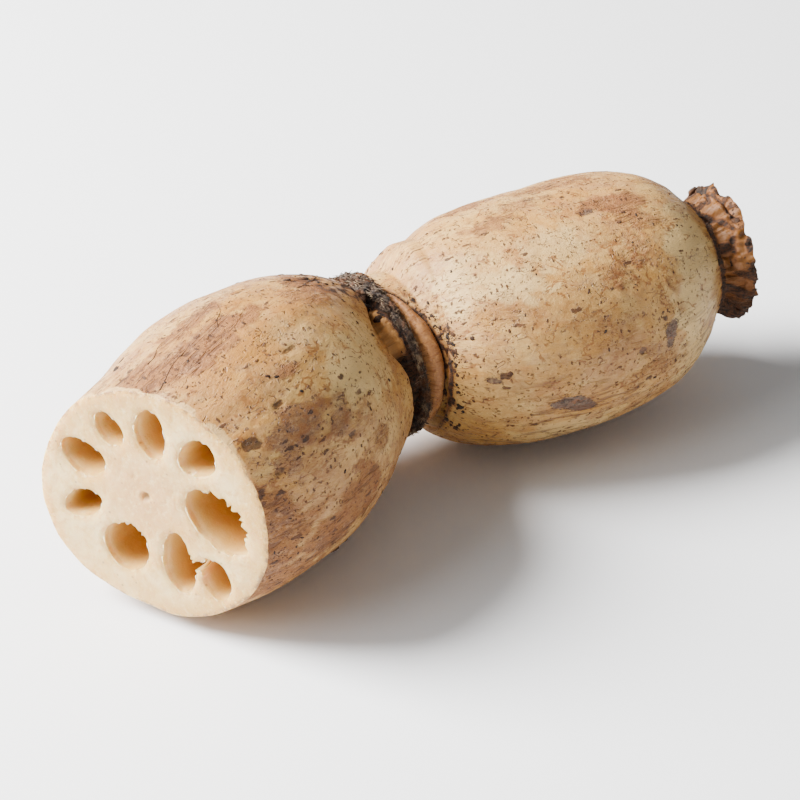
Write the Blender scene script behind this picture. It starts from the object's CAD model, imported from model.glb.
import math
import random

import bpy
import numpy as np
from mathutils import Matrix, Vector, kdtree, noise
from mathutils.bvhtree import BVHTree


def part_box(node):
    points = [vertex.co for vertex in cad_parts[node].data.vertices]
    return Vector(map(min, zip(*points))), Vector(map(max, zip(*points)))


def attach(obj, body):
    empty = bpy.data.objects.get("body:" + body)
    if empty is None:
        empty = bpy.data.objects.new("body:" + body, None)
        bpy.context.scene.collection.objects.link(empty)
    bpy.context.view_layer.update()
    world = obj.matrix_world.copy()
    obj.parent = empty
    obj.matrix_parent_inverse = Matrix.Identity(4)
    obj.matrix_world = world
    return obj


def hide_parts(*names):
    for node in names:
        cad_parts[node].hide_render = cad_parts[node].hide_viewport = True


mm = 0.001
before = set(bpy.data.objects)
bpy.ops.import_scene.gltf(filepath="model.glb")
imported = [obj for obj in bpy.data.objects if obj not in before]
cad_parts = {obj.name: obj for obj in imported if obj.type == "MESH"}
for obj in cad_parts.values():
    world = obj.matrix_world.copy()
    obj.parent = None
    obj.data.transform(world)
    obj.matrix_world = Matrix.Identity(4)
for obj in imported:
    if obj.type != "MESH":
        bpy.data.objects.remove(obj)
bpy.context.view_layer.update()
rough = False

# The root's own axis and swelling, all in mm. "along" runs from the node: minus to the cut, plus to the stub.
root = {
    "nodeFromCorner": (103.198, 56.964, 32.678),
    "frontLength": 94.5, "backLength": 98.5, "stubLength": 8.0,
    "frontHeading": 15.0, "backHeading": -14.0, "frontRise": -0.7, "backRise": 3.1,
    "turn": 11.0,
    "frontBow": (0.1, 2.1), "frontArch": (2.3, -0.7),
    "backBow": (-1.1, -1.3), "backArch": (-1.6, -0.3),
    "frontOval": 1.02, "backOval": 1.14,
    "cutYaw": 22.1, "cutTilt": 2.6,
    "patternRadius": 33.0,
    "frontProfile": [
        (-26, 27.0), (0, 31.5), (20, 35.7), (40, 36.6), (56, 34.2), (68, 30.8), (75, 27.6),
        (79.5, 25.0), (82.1, 22.4), (83.4, 18.3), (86, 18.2), (90, 18.6), (94.5, 19.0),
    ],
    "backProfile": [
        (-8, 19.0), (-5, 20.0), (-2, 21.2), (2.5, 21.8), (4.6, 22.2), (7, 25.4), (11, 28.6), (16, 31.3),
        (26, 34.0), (40, 35.6), (56, 35.1), (70, 33.4), (82, 29.8), (90, 24.4), (94, 19.8), (96.5, 17.0),
        (98.5, 16.2), (101, 17.4), (103.5, 18.8), (106.5, 19.4),
    ],
}


def heading(yaw, rise):
    flat = math.cos(math.radians(rise))
    return np.array([flat * math.cos(math.radians(yaw)), flat * math.sin(math.radians(yaw)),
                     math.sin(math.radians(rise))])


frontWay = heading(root["frontHeading"], root["frontRise"])
backWay = heading(root["backHeading"], root["backRise"])
nodePoint = np.array(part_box("lotus_root")[0]) / mm + np.array(root["nodeFromCorner"])


def sideAndUp(way):
    side = np.array([-way[1], way[0], 0.0])
    side /= np.linalg.norm(side)
    return side, np.cross(way, side)


def swing(way, bow, arch, share):
    side, up = sideAndUp(way)
    arc = np.where(share > 1, -np.pi * (share - 1), np.sin(np.pi * share))
    bend = np.where(share > 1, 2 * np.pi * (share - 1), np.sin(2 * np.pi * share))
    return np.outer(bow[0] * arc + bow[1] * bend, side) + np.outer(arch[0] * arc + arch[1] * bend, up)


# Points on the axis, for an array of places along it
def axisPoints(along):
    along = np.atleast_1d(np.asarray(along, float))
    turn = root["turn"]
    share = (along / turn + 1) / 2
    middle = (np.outer((1 - share) ** 2, -frontWay * turn) + np.outer(share ** 2, backWay * turn))
    frontShare = (-along - turn) / (root["frontLength"] - turn)
    backShare = (along - turn) / (root["backLength"] - turn)
    front = np.outer(along, frontWay) + swing(frontWay, root["frontBow"], root["frontArch"], frontShare)
    back = np.outer(along, backWay) + swing(backWay, root["backBow"], root["backArch"], backShare)
    column = along[:, None]
    return nodePoint + np.where(np.abs(column) < turn, middle, np.where(column < 0, front, back))


def axisFrames(along):
    ahead = axisPoints(np.asarray(along) + 0.2) - axisPoints(np.asarray(along) - 0.2)
    ahead /= np.linalg.norm(ahead, axis=1)[:, None]
    side = np.stack([-ahead[:, 1], ahead[:, 0], np.zeros(len(ahead))], 1)
    side /= np.linalg.norm(side, axis=1)[:, None]
    return ahead, side, np.cross(ahead, side)


# A smooth curve through (place, value) pairs
def curveThrough(pairs, at):
    x = np.array([p[0] for p in pairs], float)
    y = np.array([p[1] for p in pairs], float)
    slope = np.empty(len(x))
    slope[1:-1] = (y[2:] - y[:-2]) / (x[2:] - x[:-2])
    slope[0], slope[-1] = (y[1] - y[0]) / (x[1] - x[0]), (y[-1] - y[-2]) / (x[-1] - x[-2])
    at = np.clip(at, x[0], x[-1])
    i = np.clip(np.searchsorted(x, at, side="right") - 1, 0, len(x) - 2)
    span = x[i + 1] - x[i]
    t = (at - x[i]) / span
    return ((2 * t ** 3 - 3 * t ** 2 + 1) * y[i] + (t ** 3 - 2 * t ** 2 + t) * span * slope[i]
            + (3 * t ** 2 - 2 * t ** 3) * y[i + 1] + (t ** 3 - t ** 2) * span * slope[i + 1])


def frontRadius(along):
    return curveThrough(root["frontProfile"], along + root["frontLength"])


def backRadius(along):
    return curveThrough(root["backProfile"], along)


# On the inner side of the node's bend the shoulder starts later, or it would bunch up into a lip
def backSkinRadius(along, turn):
    inner = np.clip(-np.cos(np.radians(turn)), 0, 1)
    pull = 5.2 * inner * smoothStep(3, 11, along) * (1 - smoothStep(12, 34, along))
    return backRadius(along - pull)


def ovalShares(along):
    widen = math.sqrt(root["backOval"] / root["frontOval"])
    start = math.sqrt(root["frontOval"])
    inBack = (along > 0) & (along < root["backLength"])
    fade = np.where(inBack, np.sin(np.pi * along / root["backLength"]), 0.0)
    return start * (1 + (widen - 1) * fade), 1 / start * (1 + (1 / widen - 1) * fade)


# Straight coordinates (along, left, up) to the bent root, and back again, in mm
def bendPoints(straight):
    along = straight[:, 0]
    ahead, side, up = axisFrames(along)
    return axisPoints(along) + side * straight[:, 1:2] + up * straight[:, 2:3]


def unbendPoints(points):
    steps = np.arange(-125, 125, 0.5)
    places = axisPoints(steps)
    best = np.empty(len(points), int)
    for start in range(0, len(points), 8000):
        part = points[start:start + 8000]
        best[start:start + 8000] = ((part[:, None, :] - places[None]) ** 2).sum(2).argmin(1)
    along = steps[best]
    for repeat in range(2):
        ahead, side, up = axisFrames(along)
        off = points - axisPoints(along)
        along = along + (off * ahead).sum(1)
    ahead, side, up = axisFrames(along)
    off = points - axisPoints(along)
    return np.stack([along, (off * side).sum(1), (off * up).sum(1)], 1)


def turnOf(straight):
    return np.degrees(np.arctan2(straight[:, 2], straight[:, 1]))


def wrapped(angle):
    return (angle + 180) % 360 - 180


def smoothStep(low, high, value):
    t = np.clip((value - low) / (high - low), 0, 1)
    return t * t * (3 - 2 * t)


# Soft random field at points on a drum of even radius, so that a pattern follows the skin
def fieldAt(along, turn, size, seed, stretch=1.0, octaves=1):
    drum = root["patternRadius"]
    x = along / (size * stretch)
    y = drum * np.cos(np.radians(turn)) / size
    z = drum * np.sin(np.radians(turn)) / size
    out = np.empty(len(x))
    offset = Vector((seed * 7.31, seed * 3.17, seed * 5.53))
    for k, place in enumerate(zip(x, y, z)):
        v = Vector(place) + offset
        out[k] = noise.noise(v)
        strength = 0.5
        for o in range(1, octaves):
            v = v * 2.03
            out[k] += noise.noise(v) * strength
            strength *= 0.5
    return out


# ---- modelling helpers

def deselectAll():
    if bpy.context.object and bpy.context.object.mode != "OBJECT":
        bpy.ops.object.mode_set(mode="OBJECT")
    bpy.ops.object.select_all(action="DESELECT")


def selectOnly(obj):
    deselectAll()
    obj.select_set(True)
    bpy.context.view_layer.objects.active = obj


def settle(obj):
    selectOnly(obj)
    bpy.ops.object.transform_apply(location=True, rotation=True, scale=True)


def applyModifier(obj, modifier):
    selectOnly(obj)
    bpy.ops.object.modifier_apply(modifier=modifier.name)


def getPoints(obj):
    flat = np.empty(len(obj.data.vertices) * 3, np.float32)
    obj.data.vertices.foreach_get("co", flat)
    return flat.reshape(-1, 3).astype(float) / mm


def setPoints(obj, points):
    obj.data.vertices.foreach_set("co", (points * mm).astype(np.float32).reshape(-1))
    obj.data.update()


def smoothShade(obj, angle=50):
    selectOnly(obj)
    bpy.ops.object.shade_smooth_by_angle(angle=math.radians(angle))


# A closed drum of rings along X, extruded ring by ring
def ringDrum(name, rings, sides, levels=0):
    deselectAll()
    start, radius = rings[0]
    bpy.ops.mesh.primitive_circle_add(vertices=sides, radius=radius * mm, fill_type="NGON",
                                      location=(start * mm, 0, 0), rotation=(0, math.pi / 2, 0))
    drum = bpy.context.object
    drum.name = name
    bpy.ops.object.mode_set(mode="EDIT")
    bpy.ops.mesh.select_all(action="SELECT")
    for (a, r), (b, s) in zip(rings, rings[1:]):
        bpy.ops.mesh.extrude_region_move(TRANSFORM_OT_translate={"value": ((b - a) * mm, 0, 0)})
        bpy.ops.transform.resize(value=(1, s / r, s / r), center_override=(b * mm, 0, 0))
    bpy.ops.mesh.select_all(action="SELECT")
    bpy.ops.mesh.normals_make_consistent(inside=False)
    bpy.ops.object.mode_set(mode="OBJECT")
    settle(drum)
    if levels:
        finer = drum.modifiers.new("finer", "SUBSURF")
        finer.levels = finer.render_levels = levels
        applyModifier(drum, finer)
    return drum


def cutWith(solid, cutter):
    cut = solid.modifiers.new("cut", "BOOLEAN")
    cut.operation = "DIFFERENCE"
    cut.solver = "EXACT"
    cut.object = cutter
    cut.material_mode = "TRANSFER"
    applyModifier(solid, cut)
    bpy.data.objects.remove(cutter, do_unlink=True)


def paint(obj, name, values, kind="FLOAT_COLOR"):
    layer = obj.data.attributes.new(name, kind, "POINT")
    if kind == "FLOAT_COLOR":
        values = np.concatenate([values, np.ones((len(values), 1))], 1)
        layer.data.foreach_set("color", values.astype(np.float32).reshape(-1))
    else:
        layer.data.foreach_set("vector", values.astype(np.float32).reshape(-1))


# The even drum coordinates, in cm, that the skin's patterns read
def paintStraight(obj, straight):
    turn = np.radians(turnOf(straight))
    across = np.hypot(straight[:, 1], straight[:, 2])
    drum = np.where(straight[:, 0] > 103.2, np.minimum(across * 1.6, root["patternRadius"]), root["patternRadius"])
    even = np.stack([straight[:, 0], drum * np.cos(turn), drum * np.sin(turn)], 1) / 10
    paint(obj, "evenPlace", even, "FLOAT_VECTOR")


# ---- marks on the skin: place along, turn round the root in degrees, half length, half width, lean

marks = [
    # kind, along, turn, half length, half width, lean, strength
    ("bruise", -72, 141, 8.5, 6.0, -12, 1.0),
    ("bruise", -64, 150, 5.0, 4.0, 0, 0.7),
    ("bruise", -76, 149, 4.0, 4.5, 0, 0.8),
    ("dark", -81, 137, 2.2, 1.8, 20, 0.9),
    ("dark", -79.5, 152, 1.6, 1.4, 0, 0.6),
    ("bruise", -55, 160, 9.0, 5.0, 10, 0.35),
    ("smear", -77, 90, 17.0, 6.5, 6, 1.0),
    ("smear", -86, 80, 9.0, 6.0, 0, 0.8),
    ("smear", -62, 92, 9.0, 5.0, 10, 0.8),
    ("smear", -66, 74, 14.0, 4.0, 0, 0.7),
    ("smear", -40, 100, 10.0, 7.0, 0, 0.55),
    ("smear", -33, 92, 8.0, 9.0, 0, 0.8),
    ("bruise", -78, 93, 7.0, 3.2, 4, 0.6),
    ("bruise", -66, 86, 7.0, 3.0, 6, 0.6),
    ("smear", -86, 168, 9.0, 9.0, 0, 1.0),
    ("smear", -85, -174, 9.0, 9.0, 0, 1.0),
    ("smear", -82, -156, 12.0, 8.0, 0, 1.0),
    ("bruise", -84, 172, 5.0, 8.0, 0, 0.8),
    ("bruise", -72, -164, 10.0, 6.0, 8, 0.7),
    ("smear", -90, 150, 4.0, 7.0, 0, 0.8),
    ("smear", -92, 126, 3.0, 9.0, 0, 0.6),
    ("smear", -44, -168, 9.0, 4.0, 0, 0.5),
    ("smear", -52, 168, 7.0, 3.0, 0, 0.6),
    ("smear", -62, -172, 12.0, 6.0, 0, 0.5),
    ("dark", -61.5, 116, 2.6, 1.0, 12, 0.7),
    ("dark", -72.5, 130, 1.2, 1.0, 0, 1.0),
    ("smear", -66, 122, 3.4, 2.0, 10, 0.9),
    ("dark", -55, 146, 1.3, 1.0, 0, 0.8),
    ("dark", -62, 157, 1.2, 0.8, 0, 0.8),
    ("dark", -42, 157, 1.0, 1.0, 0, 0.7),
    ("dark", -28, 86, 5.5, 1.6, 4, 0.8),
    ("scar", 38.2, -171.7, 4.6, 2.2, 14, 1.0),
    ("scar", 67.0, 172, 2.6, 3.2, 30, 0.8),
    ("dark", 66, 164, 1.4, 0.9, 40, 0.9),
    ("dark", 56, 173, 1.3, 1.1, 0, 1.0),
    ("dark", 23.2, 170, 1.5, 1.2, 0, 1.0),
    ("scar", 20.8, 172, 1.8, 1.3, 20, 0.7),
    ("ring", 62.8, 136, 2.0, 1.5, 30, 0.8),
    ("ring", 57, 142, 4.0, 3.0, 10, 0.7),
    ("smear", 57, 138, 7.0, 6.0, 0, 0.45),
    ("scar", 59, 102, 2.6, 1.3, 0, 0.7),
    ("smear", 64, 98, 9.0, 5.0, 0, 0.8),
    ("scar", 48, 78, 2.4, 1.2, 0, 0.6),
    ("smear", 44, 80, 12.0, 5.0, 0, 0.5),
    ("smear", 50, 160, 9.0, 7.0, 0, 0.35),
    ("smear", 24, 140, 7.0, 6.0, 0, 0.3),
    ("ring", 68, 122, 3.2, 2.6, 60, 0.4),
    ("fair", -34, 138, 12.0, 13.0, 0, 0.9),
    ("fair", -58, 112, 8.0, 9.0, 0, 0.6),
    ("fair", -46, 168, 12.0, 9.0, 0, 0.5),
    ("fair", 86, 140, 13.0, 22.0, 0, 1.0),
    ("fair", 78, -168, 14.0, 14.0, 0, 0.8),
    ("fair", 16, 122, 9.0, 14.0, 0, 0.7),
    ("fair", 42, 116, 12.0, 10.0, 0, 0.6),
    ("fair", 40, -150, 16.0, 9.0, 0, 0.7),
    ("fair", 34, 160, 9.0, 9.0, 0, 0.4),
    ("smear", 72, 116, 9.0, 5.0, 20, 0.6),
    ("smear", 30, 60, 14.0, 6.0, 0, 0.7),
    ("smear", 60, 66, 16.0, 6.0, 0, 0.6),
    ("bruise", 70, 100, 6.0, 5.0, 20, 0.45),
    ("bruise", 62, 176, 7.0, 4.0, 10, 0.5),
    ("smear", -62, -178, 9.0, 7.0, 0, 0.9),
    ("smear", -84, -160, 12.0, 9.0, 0, 1.0),
    ("smear", -88, 158, 6.0, 10.0, 0, 0.9),
    ("bruise", -86, -170, 7.0, 7.0, 0, 0.7),
    ("bruise", -76, 84, 7.0, 4.0, 10, 0.6),
    ("bruise", -62, 76, 8.0, 3.0, 0, 0.5),
    ("dark", -76, 88, 1.6, 1.0, 20, 0.8),
    ("dark", -88, 72, 2.4, 0.9, 10, 0.8),
    ("dark", -50, 78, 2.8, 0.9, 10, 0.7),
    ("dark", -84, 156, 1.8, 1.0, -60, 0.8),
    ("fair", -52, 138, 13.0, 11.0, 0, 1.0),
    ("fair", -30, 126, 9.0, 9.0, 0, 1.0),
    ("fair", 80, 168, 11.0, 12.0, 0, 1.0),
    ("fair", 30, 130, 10.0, 8.0, 0, 0.8),
    ("smear", -70, -170, 13.0, 8.0, 0, 1.0),
    ("smear", -82, 176, 10.0, 6.0, 0, 0.9),
    ("smear", 70, 104, 8.0, 6.0, 0, 0.8),
    ("smear", 30, 92, 9.0, 5.0, 0, 0.6),
    ("smear", 66, 130, 6.0, 8.0, 0, 0.5),
    ("smear", 60, -176, 12.0, 4.0, 0, 0.5),
    ("ring", 60, 130, 5.0, 4.0, 30, 0.6),
    ("ring", 72, 148, 4.0, 2.6, 70, 0.6),
    ("ring", 66, 100, 6.0, 3.4, 0, 0.6),
    ("ring", -66, 146, 7.0, 5.0, 0, 0.5),
    ("warm", -72, 92, 22.0, 15.0, 0, 0.9),
    ("warm", -44, 100, 18.0, 13.0, 0, 0.7),
    ("warm", -88, 124, 8.0, 20.0, 0, 0.8),
    ("warm", -88, 168, 9.0, 20.0, 0, 1.0),
    ("warm", -62, 124, 8.0, 6.0, 0, 0.5),
    ("warm", 20, 96, 20.0, 7.0, 0, 0.5),
    ("warm", 50, -172, 30.0, 6.0, 0, 0.5),
    ("warm", 78, 120, 10.0, 4.0, 0, 0.5),
    ("dirt", -86, 174, 9.0, 15.0, 0, 1.0),
    ("dirt", -80, -156, 15.0, 14.0, 0, 1.0),
    ("dirt", -90, 138, 5.0, 12.0, 0, 0.8),
    ("dirt", -64, -164, 18.0, 11.0, 0, 0.7),
    ("dirt", -70, 146, 11.0, 8.0, 0, 0.7),
    ("dirt", -80, 100, 14.0, 9.0, 0, 0.6),
    ("dirt", -88, 62, 10.0, 14.0, 0, 0.7),
    ("dirt", -36, 92, 15.0, 10.0, 0, 0.9),
    ("dirt", 14, 154, 8.0, 12.0, 0, 0.9),
    ("dirt", 24, -166, 12.0, 9.0, 0, 0.7),
    ("dirt", 50, 172, 22.0, 6.0, 0, 0.5),
    ("dirt", 60, 120, 12.0, 8.0, 20, 0.5),
    ("dirt", 30, 108, 12.0, 8.0, 0, 0.5),
    ("dirt", 88, 150, 5.0, 16.0, 0, 0.6),
    # the sides that lie away or below
    ("dirt", -60, -20, 20.0, 14.0, 0, 0.6),
    ("dirt", 40, 10, 22.0, 12.0, 0, 0.6),
    ("bruise", -60, 20, 10.0, 7.0, 10, 0.8),
    ("smear", -72, -20, 16.0, 7.0, -6, 0.8),
    ("scar", -38, 40, 3.4, 2.0, 10, 0.8),
    ("smear", -46, -80, 18.0, 8.0, 0, 0.5),
    ("dark", -52, 8, 1.6, 1.2, 0, 0.9),
    ("scar", 34, 20, 4.0, 2.0, -10, 0.8),
    ("smear", 52, 0, 14.0, 7.0, 8, 0.6),
    ("ring", 70, 30, 2.6, 2.0, 0, 0.7),
    ("bruise", 46, -40, 8.0, 5.0, 0, 0.6),
    ("dark", 76, -10, 1.4, 1.2, 0, 0.9),
    ("smear", 30, -100, 16.0, 8.0, 0, 0.5),
    ("dark", 26, 52, 1.3, 1.0, 0, 0.9),
]
markKinds = ("bruise", "smear", "dark", "scar", "ring", "fair", "dirt", "warm")


# How strongly each kind of mark covers each point, with broken edges
def markCover(along, turn):
    cover = {kind: np.zeros(len(along)) for kind in markKinds}
    wobble = fieldAt(along, turn, 3.5, 11, octaves=2)
    for kind, at, angle, length, width, lean, strength in marks:
        du = along - at
        dv = np.radians(wrapped(turn - angle)) * 35
        near = (np.abs(du) < 2.2 * max(length, width)) & (np.abs(dv) < 2.2 * max(length, width))
        if not near.any():
            continue
        c, s = math.cos(math.radians(lean)), math.sin(math.radians(lean))
        u, v = (du[near] * c + dv[near] * s) / length, (-du[near] * s + dv[near] * c) / width
        reach = np.sqrt(u * u + v * v) + wobble[near] * (0.30 if kind in ("ring", "dark") else 0.55)
        if kind == "ring":
            value = np.exp(-((reach - 0.80) / 0.24) ** 2)
        elif kind in ("smear", "bruise", "fair", "dirt", "warm"):
            value = 1 - smoothStep(0.45, 1.25, reach)
        else:
            value = 1 - smoothStep(0.75, 1.15, reach)
        cover[kind][near] = np.maximum(cover[kind][near], value * strength)
    return cover


# Broad swellings and hollows: place along, turn, half length, half turn, height
swellings = [
    (-100, -30, 14, 30, 2.4), (-100, -86, 9, 16, -1.0), (-74, -142, 12, 20, -0.8),
    (30, -125, 24, 42, -1.3), (11, 47, 8, 36, -1.6), (76, 62, 14, 30, 0.9), (-84, 42, 8, 22, -0.7),
]

relief = {
    "lumps": 0.60, "lumpSize": 27.0,
    "dents": 0.28, "dentSize": 9.0,
    "ridges": 0.26, "ridgeSize": 7.5, "ridgeStretch": 7.0,
    "creases": 0.30, "creaseSize": 3.4, "creaseStretch": 8.0,
    "grain": 0.05,
}


# Height of the skin's own relief over its smooth radius
def skinHeight(along, turn, creaseShare):
    height = relief["lumps"] * fieldAt(along, turn, relief["lumpSize"], 1)
    height += relief["dents"] * fieldAt(along, turn, relief["dentSize"], 2)
    height += relief["ridges"] * fieldAt(along, turn, relief["ridgeSize"], 3, relief["ridgeStretch"])
    crease = 1 - np.abs(fieldAt(along, turn, relief["creaseSize"], 4, relief["creaseStretch"])) * 3.2
    height -= relief["creases"] * creaseShare * np.clip(crease, 0, 1) ** 2
    height += relief["grain"] * fieldAt(along, turn, 1.5, 5, octaves=2)
    for at, angle, length, width, lift in swellings:
        height += lift * np.exp(-((along - at) / length) ** 2 - (wrapped(turn - angle) / width) ** 2)
    cover = markCover(along, turn)
    height -= 0.35 * cover["dark"] + 0.25 * cover["scar"] + 0.12 * cover["bruise"]
    height += 0.28 * cover["ring"]
    return height


# Lays a straight drum's points out as skin: radius, oval, relief, then the bend
def skinPoints(obj, radiusOf, creaseOf, extraOf=None):
    drum = getPoints(obj)
    along, turn = drum[:, 0], turnOf(drum)
    across = np.hypot(drum[:, 1], drum[:, 2])
    smooth = radiusOf(along, turn)
    wide, tall = ovalShares(along)
    height = skinHeight(along, turn, creaseOf(along, turn))
    if extraOf is not None:
        height = height + extraOf(along, turn)
    # inner rings of the end caps keep their share of the radius
    share = np.clip(across / np.maximum(radiusOf(along, turn * 0), 1e-6), 0, 1)
    share = np.where(share > 0.97, 1.0, share)
    across = (smooth + height) * share
    straight = np.stack([along, across * np.cos(np.radians(turn)) * wide,
                         across * np.sin(np.radians(turn)) * tall], 1)
    return straight


def layOnFloor(points):
    low = points[:, 2] < 0.35
    points[low, 2] = 0.35 - 0.35 * (1 - np.exp((points[low, 2] - 0.35) / 0.35))
    return points


# ---- the cut segment

front = {"sides": 72 if not rough else 48, "levels": 2, "spacing": 2.5 if not rough else 4.0,
         "spare": 13.0,
         # how far the shoulder by the node draws back, by the turn round the root
         "shoulder": [(-180, -0.4), (-150, 0.0), (-90, -1.0), (0, -1.0), (60, -1.5), (86, -2.4), (103, 1.0), (118, 4.4),
                      (133, 5.2), (147, 3.0), (160, 0.6), (180, -0.4)]}
flesh = {"core": (-0.7, 3.0), "cell": 0.6 if not rough else 1.4, "lip": 0.45, "lipWidth": 1.8, "flare": 0.70, "flareDepth": 3.6,
         "split": (14.6, -15.2), "edge": 0.35, "edgeWidth": 1.6, "waves": 0.10, "reach": 0.80}
# clock angle, distance, radial size, width, lean, egg, then the torn part: from, to, depth in mm
channels = [
    (121, 18.8, 8.8, 6.6, 10, 0.06, None),
    (84, 18.2, 12.6, 7.8, 14, 0.05, None),
    (46, 21.2, 10.4, 8.8, 0, 0.08, (40, 100, 0.35)),
    (-2, 20.8, 19.2, 13.2, 142, 0.04, (-70, 125, 1.7)),
    (-41, 26.0, 11.0, 7.8, -30, 0.06, (110, 200, 0.7)),
    (-60, 18.6, 16.6, 8.6, -22, 0.05, (-30, 80, 0.9)),
    (-110, 17.2, 14.0, 12.8, 0, 0.05, (40, 120, 0.6)),
    (-158, 20.0, 12.2, 7.0, 8, 0.06, None),
    (161, 18.6, 13.4, 9.0, 6, 0.07, None),
]

cutNormal = -heading(root["cutYaw"], -root["cutTilt"])
cutCentre = axisPoints(-root["frontLength"])[0]


# The shoulder by the node ends sooner on the upper near side
def frontSkinRadius(along, turn):
    pull = curveThrough(front["shoulder"], wrapped(turn)) * smoothStep(-48, -22, along)
    return frontRadius(along + pull)


def evenSteps(start, end, spacing):
    return list(np.linspace(start, end, int(round((end - start) / spacing)) + 1))


# The crease where the shoulder stands over the neck
def frontExtra(along, turn):
    pulled = along + curveThrough(front["shoulder"], wrapped(turn))
    return -0.9 * np.exp(-((pulled + 10.7) / 0.6) ** 2)


def makeFrontSkin():
    alongs = evenSteps(-root["frontLength"] - front["spare"], -22.0, front["spacing"])
    alongs += evenSteps(-22.0, -2.0, front["spacing"] * 0.6)[1:]
    rings = [(a, float(frontRadius(np.array([a]))[0])) for a in alongs]
    body = ringDrum("frontSegment", rings, front["sides"], front["levels"])
    straight = skinPoints(body, frontSkinRadius,
                          lambda along, turn: 0.25 + 0.75 * smoothStep(-40, -16, along), frontExtra)
    setPoints(body, layOnFloor(bendPoints(straight)))
    return body


# One air channel, as a closed drum that is taken out of the flesh
def makeChannel(number, clock, distance, radial, width, lean, egg, torn, material):
    mouth = -root["frontLength"]
    alongs = evenSteps(mouth - 13, mouth + 6, 0.8 if not rough else 1.6)
    alongs += evenSteps(mouth + 8, mouth + flesh["reach"] * root["frontLength"], 3.4)
    tube = ringDrum(f"channelCutter{number}", [(a, 1.0) for a in alongs], 64 if not rough else 32)
    drum = getPoints(tube)
    along = drum[:, 0]
    outward = np.arctan2(drum[:, 2], -drum[:, 1])
    spread = np.minimum(1.0, frontRadius(along) / frontRadius(np.array([mouth]))[0])
    deep = np.clip((along - mouth + 8) / (flesh["reach"] * root["frontLength"] + 8), 0, 1)
    narrow = spread * (1 - 0.6 * deep ** 5)
    lean = math.radians(clock + lean)
    phase = outward - lean
    a, b = radial / 2, width / 2
    reach = a * b / np.sqrt((b * np.cos(phase)) ** 2 + (a * np.sin(phase)) ** 2)
    reach = reach * (1 + egg * np.cos(phase) + 0.03 * np.sin(3 * phase + number * 1.7))
    wave = np.array([noise.noise(Vector((x / 14, math.cos(o) * 1.3, math.sin(o) * 1.3 + number * 9.1)))
                     for x, o in zip(along, outward)])
    reach = reach * (1 + 0.07 * wave)
    core = flesh["core"]
    angle = math.radians(clock)
    right = (core[0] + distance * math.cos(angle)) * spread
    above = (core[1] + distance * math.sin(angle)) * spread

    def placed(size):
        return np.stack([along, -(right + size * narrow * np.cos(outward)),
                         above + size * narrow * np.sin(outward)], 1)

    if torn is not None:
        place = bendPoints(placed(reach))
        ahead = (place - cutCentre) @ cutNormal
        nearMouth = smoothStep(-3.2, -0.4, ahead)
        turned = wrapped(np.degrees(outward))
        middle, half = (torn[0] + torn[1]) / 2, (torn[1] - torn[0]) / 2
        inside = 1 - smoothStep(half * 0.8, half * 1.15, np.abs(wrapped(turned - middle)))
        bites = np.array([abs(noise.noise(Vector((math.cos(o) * a * 0.62, math.sin(o) * a * 0.62, number * 4.7))))
                          + 0.35 * noise.noise(Vector((math.cos(o) * a * 1.5, math.sin(o) * a * 1.5, number)))
                          for o in outward])
        reach = reach - torn[2] * inside * nearMouth * (0.75 - 2.4 * np.clip(bites, 0, 0.4))
    # the mouth opens out a little, more on the lower left
    ahead = (bendPoints(placed(reach)) - cutCentre) @ cutNormal
    soft = flesh["flare"] * (0.65 + 0.45 * np.cos(outward - math.radians(215)))
    reach = reach + soft * np.clip(1 + ahead / flesh["flareDepth"], 0, 1) ** 2
    points = bendPoints(placed(reach))
    setPoints(tube, points)
    tube.data.materials.append(material)
    return tube


# The split that joins two neighbouring channels near the cut
def makeSlit(material):
    deselectAll()
    bpy.ops.mesh.primitive_uv_sphere_add(segments=40, ring_count=24, radius=1 * mm)
    slit = bpy.context.object
    slit.name = "splitCutter"
    points = getPoints(slit)
    shape = np.array([noise.noise(Vector(p) * 1.7) for p in points])
    points *= (1 + 0.22 * shape)[:, None]
    points = points * np.array([7.0, 2.6, 1.25])
    c, d = math.cos(math.radians(-28)), math.sin(math.radians(-28))
    points = np.stack([points[:, 0], points[:, 1] * c - points[:, 2] * d, points[:, 1] * d + points[:, 2] * c], 1)
    core, place = flesh["core"], flesh["split"]
    points += np.array([-root["frontLength"] + 1.0, -(core[0] + place[0]), core[1] + place[1]])
    setPoints(slit, bendPoints(points))
    slit.data.materials.append(material)
    return slit


# A slab of small cells whose near face becomes the cut face
def makeEndSlab(material):
    deselectAll()
    half = 39.0
    cells = int(2 * half / flesh["cell"])
    bpy.ops.mesh.primitive_grid_add(x_subdivisions=cells, y_subdivisions=cells, size=2 * half * mm)
    slab = bpy.context.object
    slab.name = "endSlab"
    bpy.ops.object.mode_set(mode="EDIT")
    bpy.ops.mesh.select_all(action="SELECT")
    bpy.ops.mesh.extrude_region_move(TRANSFORM_OT_translate={"value": (0, 0, 24 * mm)})
    bpy.ops.mesh.select_all(action="SELECT")
    bpy.ops.mesh.normals_make_consistent(inside=False)
    bpy.ops.object.mode_set(mode="OBJECT")
    turn = Vector(cutNormal).to_track_quat("Z", "Y").to_matrix().to_4x4()
    slab.matrix_world = Matrix.Translation(Vector(cutCentre * mm)) @ turn
    settle(slab)
    slab.data.materials.append(material)
    return slab


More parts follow.
